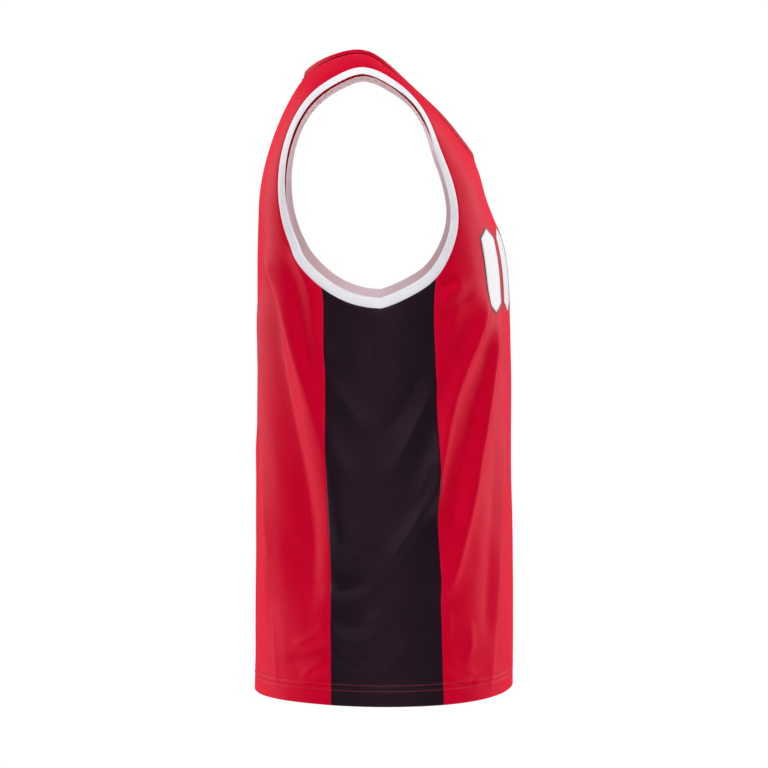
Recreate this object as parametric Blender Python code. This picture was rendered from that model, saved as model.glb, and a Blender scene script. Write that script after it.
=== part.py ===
"""A sleeveless athletic tank top, filled out as if worn, with nobody in it.

A front and a back panel, two side panels in another colour, a folded binding round each armhole and a
V-shaped neckband. Metres, +Z up, the wearer faces -Y and their right is -X. The origin lies midway
between the two shoulder straps, where the shoulders carry the garment.

The front and back are cut from one smooth form. Its rows run outwards from the centre plane to a side
line, and follow each other up the front, over the shoulder and down the back. Two openings are cut in
it: the neck, seen from above, and the armhole, seen from the side. Each piece is one wall of cloth, and
walls that meet at a seam end along the same plane. Only one half of the form is described, and mirrored.
"""

import math

import bpy
import numpy as np

# Cloth and bands
PANEL_WALL = 0.0015
BAND_WALL = 0.0022
SEAM_GAP = 0.0003
BINDING_WIDTH = 0.0114
BINDING_CURL_DEG = 8
NECKBAND_WIDTH = 0.0085
NECKBAND_STAND_DEG = 26

# Rows of facets in each stretch, and columns across each piece
BODY_ROWS = 17
FRONT_CHEST_ROWS = 6
FRONT_STRAP_ROWS = 9
BACK_CHEST_ROWS = 8
BACK_STRAP_ROWS = 6
PANEL_COLUMNS = 10
SIDE_COLUMNS_AHEAD = 4
SIDE_COLUMNS_BEHIND = 5
BAND_COLUMNS = 2

# The form, row by row. A row leaves the centre plane squarely, and meets the side line turned back in
# plan and dipping by two angles. Its fullness is the length of its end tangents, as a share of its
# chord. Rows 0 to 12 climb the front, and row 12 runs over the shoulder.
SHOULDER_ROW = 12
START_FULLNESS = 1.05
FORM = [
    # centre depth, centre z, side half width, side depth, side z, turn, dip, fullness
    (-0.1670, -0.7050, 0.1780, -0.0862, -0.7080, 58, 0, 1.05),
    (-0.1672, -0.5800, 0.1770, -0.0822, -0.5820, 59, 0, 1.05),
    (-0.1648, -0.4400, 0.1762, -0.0786, -0.4400, 61, 0, 1.05),
    (-0.1641, -0.3200, 0.1770, -0.0763, -0.3210, 62, 0, 1.05),
    (-0.1623, -0.2620, 0.1775, -0.0753, -0.2620, 63, 0, 1.05),
    (-0.1542, -0.1990, 0.1650, -0.0835, -0.2010, 56, 2, 1.05),
    (-0.1345, -0.1480, 0.1580, -0.0885, -0.1540, 50, 5, 1.05),
    (-0.1240, -0.1140, 0.1568, -0.0845, -0.1310, 48, 8, 1.00),
    (-0.1055, -0.0865, 0.1570, -0.0775, -0.1090, 45, 13, 0.95),
    (-0.0810, -0.0585, 0.1575, -0.0655, -0.0715, 38, 30, 0.65),
    (-0.0430, -0.0250, 0.1590, -0.0365, -0.0325, 22, 42, 0.50),
    (-0.0200, -0.0015, 0.1605, -0.0160, -0.0190, 10, 46, 0.50),
    (0.0000, 0.0135, 0.1620, 0.0010, -0.0150, 0, 48, 0.55),
    (0.0400, 0.0080, 0.1620, 0.0280, -0.0225, -18, 42, 0.60),
    (0.0680, -0.0135, 0.1605, 0.0560, -0.0420, -32, 28, 0.70),
    (0.0855, -0.0420, 0.1600, 0.0725, -0.0720, -42, 18, 0.80),
    (0.1030, -0.0830, 0.1600, 0.0835, -0.1070, -48, 10, 0.85),
    (0.1170, -0.1350, 0.1605, 0.0860, -0.1500, -52, 4, 0.95),
    (0.1225, -0.1900, 0.1665, 0.0715, -0.2000, -58, 1, 1.05),
    (0.1245, -0.2500, 0.1787, 0.0478, -0.2520, -65, 0, 1.05),
    (0.1244, -0.2850, 0.1785, 0.0459, -0.2860, -65, 0, 1.05),
    (0.1242, -0.3400, 0.1780, 0.0441, -0.3400, -64, 0, 1.05),
    (0.1247, -0.4400, 0.1770, 0.0418, -0.4400, -62, 0, 1.05),
    (0.1257, -0.5800, 0.1785, 0.0395, -0.5800, -60, 0, 1.05),
    (0.1275, -0.7110, 0.1800, 0.0385, -0.7080, -60, 0, 1.05),
]

# Neck seam seen from above: distance from the origin, by angle from straight ahead
NECK = [
    # angle, radius
    (0, 0.1244),
    (10, 0.1102),
    (24, 0.0957),
    (41, 0.0855),
    (60, 0.0830),
    (76, 0.0858),
    (90, 0.0900),
    (120, 0.0855),
    (150, 0.0762),
    (180, 0.0725),
]

# Armhole seam seen from the side: distance from its centre, by angle from straight down, towards the
# front. Its binding leans outwards from the YZ plane.
ARMHOLE_CENTRE = (-0.0175, -0.1400)
ARMHOLE = [
    # angle, radius, lean
    (0, 0.1314, 2),
    (15, 0.1225, 8),
    (30, 0.1162, 22),
    (45, 0.1059, 36),
    (60, 0.0963, 43),
    (75, 0.0872, 47),
    (90, 0.0803, 49),
    (105, 0.0767, 53),
    (120, 0.0770, 56),
    (135, 0.0832, 66),
    (150, 0.0955, 70),
    (165, 0.1104, 64),
    (177, 0.1232, 55),
    (189, 0.1342, 52),
    (200, 0.1335, 52),
    (215, 0.1302, 55),
    (240, 0.1203, 59),
    (270, 0.1142, 51),
    (300, 0.1186, 36),
    (322, 0.1252, 22),
    (340, 0.1298, 12),
    (360, 0.1314, 2),
]

# Distance round the body, in one half, from the centre front. A place on a row of the form is a share
# of its panel's nominal width.
FRONT_WIDTH = 0.225
SIDE_WIDTH = 0.125
BACK_WIDTH = 0.220

# Largest folds of each half: soft ridges that run across the panels and their seams
RIGHT_FOLDS = [
    # height, half width, ridge from its top as (z, distance round)
    (0.0036, 0.016, [(-0.270, 0.120), (-0.330, 0.170), (-0.385, 0.195), (-0.440, 0.222)]),
    (0.0040, 0.018, [(-0.310, 0.100), (-0.420, 0.155), (-0.520, 0.190), (-0.600, 0.215)]),
    (0.0040, 0.018, [(-0.200, 0.480), (-0.300, 0.430), (-0.370, 0.400), (-0.470, 0.355)]),
    (0.0032, 0.017, [(-0.330, 0.520), (-0.420, 0.500), (-0.560, 0.465), (-0.680, 0.440)]),
    (0.0022, 0.015, [(-0.380, 0.232), (-0.450, 0.250), (-0.510, 0.285), (-0.550, 0.330)]),
]
LEFT_FOLDS = [
    # height, half width, ridge from its top as (z, distance round)
    (0.0036, 0.017, [(-0.250, 0.110), (-0.340, 0.160), (-0.420, 0.190), (-0.510, 0.220)]),
    (0.0034, 0.018, [(-0.340, 0.080), (-0.460, 0.125), (-0.580, 0.160), (-0.680, 0.180)]),
    (0.0038, 0.018, [(-0.210, 0.470), (-0.320, 0.425), (-0.430, 0.385), (-0.540, 0.350)]),
    (0.0032, 0.017, [(-0.300, 0.505), (-0.440, 0.485), (-0.600, 0.455), (-0.690, 0.445)]),
    (0.0022, 0.015, [(-0.370, 0.340), (-0.440, 0.310), (-0.510, 0.270), (-0.560, 0.240)]),
]
FOLD_FADE = 0.070  # length over which a fold rises at each end

SAME_PLACE = 0.0003  # points nearer than this meet

# Colours
RED = (0.57, 0.010, 0.035)
BLACK = (0.018, 0.012, 0.016)
WHITE = (0.80, 0.79, 0.81)


def unit(vectors):
    return vectors / np.linalg.norm(vectors, axis=-1, keepdims=True)


def smooth_curve(knots, values):
    """A natural cubic spline through the values, as a function of one parameter."""
    knots = np.asarray(knots, float)
    values = np.asarray(values, float).reshape(len(knots), -1)
    steps = np.diff(knots)
    slopes = np.diff(values, axis=0) / steps[:, None]
    system = np.eye(len(knots))
    right = np.zeros_like(values)
    for i in range(1, len(knots) - 1):
        system[i, i - 1 : i + 2] = steps[i - 1], 2 * (steps[i - 1] + steps[i]), steps[i]
        right[i] = 6 * (slopes[i] - slopes[i - 1])
    bends = np.linalg.solve(system, right)

    def at(parameter):
        t = np.atleast_1d(np.asarray(parameter, float))
        i = np.clip(np.searchsorted(knots, t) - 1, 0, len(steps) - 1)
        h = steps[i][..., None]
        a = (knots[i + 1] - t)[..., None] / h
        b = 1 - a
        curve = a * values[i] + b * values[i + 1]
        return curve + ((a**3 - a) * bends[i] + (b**3 - b) * bends[i + 1]) * h**2 / 6

    return at


def hermite(start, start_way, end, end_way, fullness, u):
    """Points of the cubics that leave each start and reach each end along the given ways."""
    chord = np.linalg.norm(end - start, axis=-1)[:, None]
    u = u[..., None]
    leave = (start_way * chord * START_FULLNESS)[:, None]
    arrive = (end_way * chord * fullness)[:, None]
    start, end = start[:, None], end[:, None]
    return (
        (2 * u**3 - 3 * u**2 + 1) * start
        + (3 * u**2 - 2 * u**3) * end
        + (u**3 - 2 * u**2 + u) * leave
        + (u**3 - u**2) * arrive
    )


def form_parameter():
    """How far along the form each of its rows lies: the mean of the ways along its two edges."""
    table = np.array(FORM)
    centre = np.linalg.norm(np.diff(table[:, 0:2], axis=0), axis=1)
    side = np.linalg.norm(np.diff(table[:, 2:5], axis=0), axis=1)
    return np.concatenate([[0], np.cumsum((centre + side) / 2)])


FORM_AT = form_parameter()
FORM_CURVE = smooth_curve(FORM_AT, FORM)
SHOULDER, END = FORM_AT[SHOULDER_ROW], FORM_AT[-1]


def side_line(at):
    """Points of the form's side line, and the way in which the cloth crosses it."""
    found = FORM_CURVE(at)
    turn, dip = np.radians(found[:, 5]), np.radians(found[:, 6])
    way = np.stack([np.cos(dip) * np.cos(turn), np.cos(dip) * np.sin(turn), -np.sin(dip)], 1)
    return found[:, 2:5], way


def form_rows(at, u):
    """Points of the form at the given rows, and at shares u of each row."""
    found = FORM_CURVE(at)
    side, way = side_line(at)
    centre = np.stack([0 * at, found[:, 0], found[:, 1]], 1)
    outwards = np.tile([1.0, 0.0, 0.0], (len(at), 1))
    return hermite(centre, outwards, side, way, found[:, 7:], u)


def armhole_reach(points):
    """How far points lie outside the armhole, seen from the side, and the binding's lean there."""
    down = ARMHOLE_CENTRE[1] - points[..., 2]
    ahead = ARMHOLE_CENTRE[0] - points[..., 1]
    angle = np.degrees(np.arctan2(ahead, down)) % 360
    radius, lean = np.moveaxis(smooth_curve(*split(ARMHOLE))(angle), -1, 0)
    return np.hypot(down, ahead) - radius, lean


def neck_reach(points):
    """How far points lie inside the neck opening, seen from above."""
    angle = np.degrees(np.arctan2(points[..., 0], -points[..., 1]))
    mirrored = NECK + [(360 - angle_, radius) for angle_, radius in NECK[-2::-1]]
    return smooth_curve(*split(mirrored))(angle)[..., 0] - np.hypot(points[..., 0], points[..., 1])


def split(table):
    table = np.array(table, float)
    return table[:, 0], table[:, 1:]


def first_below(values, shares):
    """Where each row of values first falls below zero, as a share, or the last share if it never does."""
    below = values < 0
    found = below.any(1)
    k = np.clip(below.argmax(1), 1, None)
    row = np.arange(len(values))
    before, after = values[row, k - 1], values[row, k]
    part = np.clip(before / np.where(before == after, 1, before - after), 0, 1)
    share = shares[k - 1] + part * (shares[k] - shares[k - 1])
    return np.where(below[:, 0], shares[0], np.where(found, share, shares[-1]))


def landmarks():
    """Where along the form its side line enters and leaves the armhole, and its centre line the neck."""
    ahead = np.linspace(0, SHOULDER, 2000)
    behind = np.linspace(END, SHOULDER, 2000)
    found = []
    for path in (ahead, behind):
        found.append(first_below(armhole_reach(side_line(path)[0])[0][None], path)[0])
        centre = form_rows(path, np.zeros((len(path), 1)))[:, 0]
        found.append(first_below(-neck_reach(centre)[None], path)[0])
    return found


def panel_half(stretches):
    """A panel's half, row by row from its hem: its points, their shares of the rows, and the ways out."""
    at = stretches[0]
    for stretch in stretches[1:]:
        at = np.concatenate([at, stretch[1:]])
    shares = np.linspace(0, 1, 401)
    rows = form_rows(at, np.tile(shares, (len(at), 1)))
    first = first_below(neck_reach(rows), shares)
    last = first_below(armhole_reach(rows)[0], shares)
    first[: len(at) - len(stretches[2]) + 1] = 0
    last[: len(stretches[0])] = 1
    across = np.linspace(0, 1, PANEL_COLUMNS + 1)
    shares = first[:, None] + (last - first)[:, None] * across
    step = form_rows(at, np.stack([first, first + 0.001], 1))
    return form_rows(at, shares), shares, unit(step[:, 1] - step[:, 0])


def level_rings(z, w):
    """Points of the side panel's form: at heights z, and at shares w from the front to the back seam."""
    front_at, back_at = np.linspace(0, SHOULDER, 1500), np.linspace(END, SHOULDER, 1500)
    ends = []
    for path in (front_at, back_at):
        points, ways = side_line(path)
        at = np.interp(z, points[:, 2], path)
        ends += list(side_line(at))
    return hermite(ends[0], ends[1], ends[2], ends[3] * [-1, -1, 1], START_FULLNESS, w)


def side_grid(front_levels, back_levels):
    """The side panel: rows from the hem up to the armhole, columns from the front seam to the back seam.

    Its rows meet those of the front and back panels, whose heights along the two seams are given.
    """
    hem, top = FORM[0][4], ARMHOLE_CENTRE[1]
    tip_ring = level_rings(np.array([ARMHOLE_CENTRE[1] - ARMHOLE[0][1]]), np.linspace(0, 1, 400)[None])[0]
    tip = np.interp(ARMHOLE_CENTRE[0], tip_ring[:, 1], np.linspace(0, 1, 400))
    across = np.concatenate(
        [np.linspace(0, tip, SIDE_COLUMNS_AHEAD + 1), np.linspace(tip, 1, SIDE_COLUMNS_BEHIND + 1)[1:]]
    )
    climb = np.linspace(hem, top, 1200)
    columns = np.swapaxes(level_rings(climb, np.tile(across, (len(climb), 1))), 0, 1)
    tops = first_below(armhole_reach(columns)[0], climb)
    tops[0], tops[-1] = front_levels[-1], back_levels[-1]
    ahead, behind = ((levels[:, None] - hem) / (levels[-1] - hem) for levels in (front_levels, back_levels))
    heights = hem + (ahead + (behind - ahead) * across) * (tops - hem)
    places = [level_rings(heights[:, i], np.full((BODY_ROWS + 1, 1), w))[:, 0] for i, w in enumerate(across)]
    return np.stack(places, 1), across


def normals_of(grid):
    """Unit normals of a grid, outwards for rows that climb and columns that run outwards in front."""
    return unit(np.cross(np.gradient(grid, axis=1), np.gradient(grid, axis=0)))


def fold_heights(z, around, folds):
    """How far the cloth stands out at each height and distance round, from the folds that cross there."""
    rise = np.zeros(z.shape)
    for height, half_width, ridge in folds:
        levels, places = np.array(ridge).T
        slant = np.interp(-z, -levels, np.gradient(places, levels))
        across = (around - np.interp(-z, -levels, places)) / np.sqrt(1 + slant**2)
        inside = np.clip(np.minimum(levels[0] - z, z - levels[-1]) / FOLD_FADE + 0.5, 0, 1)
        rise += height * inside**2 * (3 - 2 * inside) * np.exp(-((across / half_width) ** 2))
    return rise


def draped(grid, around, folds, outwards):
    """The grid with its folds. outwards is 1 where normals_of points out of the garment, or -1."""
    return grid + fold_heights(grid[..., 2], around, folds)[..., None] * normals_of(grid) * outwards


def drawn_back(grid, first_rows, last_rows, top):
    """The grid drawn back by half a seam gap, in some rows of its first and last columns, and at its top."""
    moved = grid.copy()
    moved[first_rows, 0] += unit(grid[first_rows, 1] - grid[first_rows, 0]) * SEAM_GAP / 2
    moved[last_rows, -1] += unit(grid[last_rows, -2] - grid[last_rows, -1]) * SEAM_GAP / 2
    if top:
        moved[-1] += unit(moved[-2] - moved[-1]) * SEAM_GAP / 2
    return moved


def binding_strip(loop):
    """The binding on an armhole seam: rows across it that lean outwards and curl inwards a little."""
    lean = np.radians(armhole_reach(loop)[1])[:, None]
    along = unit(np.roll(loop, -1, 0) - np.roll(loop, 1, 0))
    inwards = unit(np.stack([0 * loop[:, 0], along[:, 2], -along[:, 1]], 1))
    ways = np.cos(lean) * inwards + np.sin(lean) * np.array([1.0, 0.0, 0.0])
    ways = unit(ways - (ways * along).sum(1, keepdims=True) * along)
    inside = unit(np.cross(along, ways))
    across = np.linspace(0, 1, BAND_COLUMNS + 1)[None, :, None] * BINDING_WIDTH
    curl = across**2 / BINDING_WIDTH * math.sin(math.radians(BINDING_CURL_DEG))
    return loop[:, None] + across * ways[:, None] + curl * inside[:, None]


def evenly(points, rows):
    """A path again, with evenly spaced points."""
    along = np.concatenate([[0], np.cumsum(np.linalg.norm(np.diff(points, axis=0), axis=1))])
    at = np.linspace(0, along[-1], rows + 1)
    return np.stack([np.interp(at, along, points[:, k]) for k in range(3)], 1)


def band_edge(seam, row_ways, outwards):
    """The neckband's free edge: the seam moved on across the form, standing up a little, and mitred."""
    along = unit(np.gradient(seam, axis=0))
    ways = -unit(row_ways - (row_ways * along).sum(1, keepdims=True) * along)
    stand = math.radians(NECKBAND_STAND_DEG)
    up = unit(np.cross(along, ways)) * outwards
    knots = np.linspace(0, 1, len(seam))
    fine = np.linspace(0, 1, 300)
    edge = smooth_curve(knots, seam + NECKBAND_WIDTH * (math.cos(stand) * ways + math.sin(stand) * up))(fine)
    if edge[0, 0] < 0:
        first = int(np.argmax(edge[:, 0] > 0))
        before, after = edge[first - 1], edge[first]
        crossing = before + (after - before) * (-before[0] / (after[0] - before[0]))
        edge = np.concatenate([[crossing], edge[first:]])
    edge[0, 0] = 0
    return evenly(edge, len(seam) - 1)


def neckband_half(front, front_ways, back, back_ways):
    """Half of the neckband, from the point of the V up over the shoulder and down to the centre back."""
    first_front, first_back = BODY_ROWS + FRONT_CHEST_ROWS, BODY_ROWS + BACK_CHEST_ROWS
    front_seam, back_seam = front[first_front:, 0], back[first_back:, 0]
    back_start = back_ways[first_back:].copy()
    front_edge = band_edge(front_seam, front_ways[first_front:], 1)
    back_edge = band_edge(back_seam, back_start, -1)
    seam = np.concatenate([front_seam, back_seam[::-1][1:]])
    edge = np.concatenate([front_edge[:-1], [(front_edge[-1] + back_edge[-1]) / 2], back_edge[::-1][1:]])
    across = np.linspace(0, 1, BAND_COLUMNS + 1)[None, :, None]
    return seam[:, None] + across * (edge - seam)[:, None]


def ways_out(grid, outwards, ring):
    """Unit normals out of the garment. A ring is a grid whose last row is followed by its first."""
    whole = np.concatenate([grid[-1:], grid, grid[:1]]) if ring else grid
    normals = normals_of(whole) * outwards
    return normals[1:-1] if ring else normals


def meeting(grids, normals):
    """The normals again, averaged over the points of all grids that coincide."""
    points = np.concatenate([grid.reshape(-1, 3) for grid in grids])
    ways = np.concatenate([normal.reshape(-1, 3) for normal in normals])
    shared = np.stack([ways[np.linalg.norm(points - point, axis=1) < SAME_PLACE].sum(0) for point in points])
    ends = np.cumsum([grid.shape[0] * grid.shape[1] for grid in grids])
    parts = np.split(unit(shared), ends[:-1])
    return [part.reshape(grid.shape) for part, grid in zip(parts, grids)]


def quads(rows, columns, ring, flipped):
    """Faces of a grid, row by row, joined end to end if it is a ring."""
    faces = []
    for i in range(rows if ring else rows - 1):
        for j in range(columns - 1):
            k = (i + 1) % rows
            face = (i * columns + j, i * columns + j + 1, k * columns + j + 1, k * columns + j)
            faces.append(face[::-1] if flipped else face)
    return faces


def walled(points, inner, faces):
    """A closed wall between an open surface and the same surface moved inwards."""
    count = len(points)
    sides = {edge for face in faces for edge in zip(face, face[1:] + face[:1])}
    rims = [(b, a, a + count, b + count) for a, b in sides if (b, a) not in sides]
    backs = [tuple(count + v for v in face[::-1]) for face in faces]
    return np.concatenate([points, inner]), faces + backs + sorted(rims)


def cloth_material(name, colour, roughness):
    material = bpy.data.materials.new(name)
    material.use_nodes = True
    shader = material.node_tree.nodes["Principled BSDF"]
    shader.inputs["Base Color"].default_value = (*colour, 1)
    shader.inputs["Roughness"].default_value = roughness
    shader.inputs["Metallic"].default_value = 0.0
    return material


def cloth_piece(name, halves, wall, material, collection, ring=False):
    """One named wall of cloth. Each half is a grid, its normals, and whether its faces are turned round."""
    points, inner, faces = [], [], []
    for grid, normals, flipped in halves:
        rows, columns = grid.shape[:2]
        start = sum(len(part) for part in points)
        points.append(grid.reshape(-1, 3))
        inner.append((grid - wall * normals).reshape(-1, 3))
        faces += [tuple(start + v for v in face) for face in quads(rows, columns, ring, flipped)]
    points, inner = np.concatenate(points), np.concatenate(inner)
    _, first, place = np.unique(np.round(points, 7), axis=0, return_index=True, return_inverse=True)
    place = place.reshape(-1)
    faces = [tuple(int(place[v]) for v in face) for face in faces]
    points, faces = walled(points[first], inner[first], faces)
    mesh = bpy.data.meshes.new(name)
    mesh.from_pydata(points.tolist(), [], faces)
    piece = bpy.data.objects.new(name, mesh)
    collection.objects.link(piece)
    mesh.materials.append(material)
    mesh.shade_smooth()


def on_side(grid, side):
    return grid * [side, 1, 1]


def main():
    for old in list(bpy.data.objects):
        bpy.data.objects.remove(old)
    garment = bpy.data.collections.new("tank_top")
    bpy.context.scene.collection.children.link(garment)
    red = cloth_material("red_knit", RED, 0.55)
    black = cloth_material("black_knit", BLACK, 0.5)
    white = cloth_material("white_binding", WHITE, 0.6)

    front_corner, neck_point, back_corner, nape = landmarks()
    front, front_shares, front_ways = panel_half(
        [
            np.linspace(0, front_corner, BODY_ROWS + 1),
            np.linspace(front_corner, neck_point, FRONT_CHEST_ROWS + 1),
            np.linspace(neck_point, SHOULDER, FRONT_STRAP_ROWS + 1),
        ]
    )
    back, back_shares, back_ways = panel_half(
        [
            np.linspace(END, back_corner, BODY_ROWS + 1),
            np.linspace(back_corner, nape, BACK_CHEST_ROWS + 1),
            np.linspace(nape, SHOULDER, BACK_STRAP_ROWS + 1),
        ]
    )
    side, side_shares = side_grid(front[: BODY_ROWS + 1, -1, 2], back[: BODY_ROWS + 1, -1, 2])
    back_edge = FRONT_WIDTH + SIDE_WIDTH
    front_neck = slice(BODY_ROWS + FRONT_CHEST_ROWS + 1, None)
    back_neck = slice(BODY_ROWS + BACK_CHEST_ROWS + 1, None)
    every, none = slice(None), slice(0)
    cuts = [  # name, first rows and last rows drawn back, top drawn back, outwards, whether a ring, material
        ("front_panel", front_neck, every, True, 1, False, red),
        ("back_panel", back_neck, every, True, -1, False, red),
        ("side_panel", every, every, True, 1, False, black),
        ("armhole_binding", every, none, False, 1, True, white),
        ("neckband", every, none, False, -1, False, red),
    ]
    grids, normals = [], []
    for sign, folds in ((-1, RIGHT_FOLDS), (1, LEFT_FOLDS)):
        front_cloth = draped(front, front_shares * FRONT_WIDTH, folds, 1)
        back_cloth = draped(back, back_edge + (1 - back_shares) * BACK_WIDTH, folds, -1)
        side_cloth = draped(side, FRONT_WIDTH + side_shares[None] * SIDE_WIDTH, folds, 1)
        up_front, down_back = front_cloth[BODY_ROWS:, -1], back_cloth[BODY_ROWS:, -1][::-1]
        binding = binding_strip(np.concatenate([up_front, down_back[1:], side_cloth[-1, 1:-1][::-1]]))
        band = neckband_half(front_cloth, front_ways, back_cloth, back_ways)
        for grid, cut in zip((front_cloth, back_cloth, side_cloth, binding, band), cuts):
            grids.append(on_side(grid, sign))
            normals.append(on_side(ways_out(grid, cut[4], cut[5]), sign))
    normals = meeting(grids, normals)
    for i, (name, first_rows, last_rows, top, outwards, ring, material) in enumerate(cuts):
        halves = []
        for j, sign in ((i, -1), (i + len(cuts), 1)):
            grid = drawn_back(grids[j], first_rows, last_rows, top)
            halves.append((grid, normals[j], sign * outwards < 0))
        wall = BAND_WALL if material == white or name == "neckband" else PANEL_WALL
        if name in ("side_panel", "armhole_binding"):
            for half, word in zip(halves, ("right", "left")):
                cloth_piece(f"{name}_{word}", [half], wall, material, garment, ring)
        else:
            cloth_piece(name, halves, wall, material, garment, ring)


main()
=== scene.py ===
"""A sleeveless athletic tank top, filled out as if worn, with nobody in it.

Two red panels, front and back, are cut from one smooth form. Two black side panels close the body, a
folded white binding edges each armhole, and a folded red band edges the V neck. Every piece of cloth is
a surface over two parameters, a row of the form and a share of that row, with its creases, seams and
hem worked in along its normals. Metres, +Z up. The wearer faces -Y, and their right is -X.

A place on the cloth is its height z, and its distance round the body from the centre front, which is
negative on the wearer's right.
"""

import math

import bpy
import numpy as np
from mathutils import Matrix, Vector


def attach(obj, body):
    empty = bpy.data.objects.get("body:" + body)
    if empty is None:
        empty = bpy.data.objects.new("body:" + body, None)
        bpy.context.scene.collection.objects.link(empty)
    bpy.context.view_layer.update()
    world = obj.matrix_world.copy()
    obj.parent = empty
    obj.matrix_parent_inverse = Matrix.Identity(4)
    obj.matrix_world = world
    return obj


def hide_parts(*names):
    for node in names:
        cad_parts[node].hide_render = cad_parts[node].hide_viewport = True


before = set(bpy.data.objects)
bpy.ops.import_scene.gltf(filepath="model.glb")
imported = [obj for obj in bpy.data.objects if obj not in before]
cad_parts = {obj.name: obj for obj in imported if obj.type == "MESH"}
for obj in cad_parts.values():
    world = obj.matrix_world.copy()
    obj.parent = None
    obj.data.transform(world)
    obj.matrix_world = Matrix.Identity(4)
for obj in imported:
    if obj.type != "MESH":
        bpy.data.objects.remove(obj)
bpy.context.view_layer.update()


# -------- sizes

KNIT = 0.0007  # one layer of the knit
BINDING_WIDTH = 0.0114
BINDING_CURL_DEG = 8
BINDING_LEAN = 1.06  # how much further than its solid the binding leans
NECKBAND_WIDTH = 0.0085
NECKBAND_STAND_DEG = 26
BAND_HALF = 0.0006  # half the thickness of a folded band at its free edge
MITRE_REACH = 0.020  # length over which a band is drawn up to its mitre
BINDING_JOIN = (0.00045, 0.0007)  # depth and half width of the groove at a band's join
NECKBAND_JOIN = (0.00050, 0.0008)
BINDING_STEPS = 290
NECKBAND_STEPS = 150

HEM_TURN = 0.025  # height of cloth turned up inside at the hem
HEM_FOLD = 0.0011  # radius of its fold
HEM_BEND_DEG = (180, 155, 130, 110, 90, 70, 50, 25)  # how far round the fold each of its rows lies
HEM_STITCH_ROWS = (0.0170, 0.0234)
HEM_RIPPLES = [
    # height, half width, how far out
    (0.0170, 0.0009, -0.00038),
    (0.0202, 0.0022, 0.00025),
    (0.0234, 0.0009, -0.00038),
    (0.0258, 0.0018, 0.00015),
]
STITCH_PITCH = 0.0030
STITCH_LENGTH = 0.0024
STITCH_THICK = 0.00042
STITCH_ARCH = 0.22  # how far its middle rises and all of it sinks, as shares of its thickness
STITCH_SINK = 0.12
STITCH_RINGS = 5  # rings along its capsule, points round each, and how near its tips the last lie
STITCH_CORNERS = 6
STITCH_TIP = 0.96

FRONT_WIDTH = 0.225  # nominal widths of half a front, a side and half a back
SIDE_WIDTH = 0.125
BACK_WIDTH = 0.220
HALF_ROUND = FRONT_WIDTH + SIDE_WIDTH + BACK_WIDTH

SEAM_DEPTH = 0.0006  # how far the cloth dips into a seam
NECK_SEAM_DEPTH = 0.0016
SEAM_ALLOWANCE = 0.0016  # how far its edge turns in behind it
SIDE_SEAM_REACH = 0.0024  # how near to a seam it starts to dip
SIDE_TOP_REACH = 0.0026
SHOULDER_REACH = 0.0016
NECK_REACH = 0.0020

GRID = 0.0032  # spacing of the cloth's points
COLUMNS = 70
SIDE_COLUMNS = 42
# Heights of a panel's first rows above its fold, close together where the stitching draws it in
HEM_ROWS = np.concatenate([[HEM_FOLD, 0.0030, 0.0056, 0.0086, 0.0116], np.arange(0.0146, 0.0274, 0.0008)])
SHOULDER_ROWS = (0.0040, 0.0026, 0.0015, 0.0007, 0.0003, 0)  # how far the last rows lie from the seam
# Shares near the edges of a front's or back's row, at a side panel's edges, and at its columns' tops
FIRST_SHARES = (0, 0.0035, 0.0085)
LAST_SHARES = (0.9915, 0.9965, 0.9990, 1)
SIDE_SHARES = (0, 0.002, 0.006, 0.013, 0.020)
SIDE_MARGIN = 0.03
TOP_SHARES = (0.9945, 0.9975, 0.9992, 1)
NUDGE = 0.0005  # a short step that shows which way a line runs
# Numbers of points at which lines of the form are sampled, to find a place on them
EDGE_SAMPLES, LEVEL_SAMPLES, CLIMB_SAMPLES = 4000, 3000, 2400
ROW_SAMPLES, RING_SAMPLES = 801, 800

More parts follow.
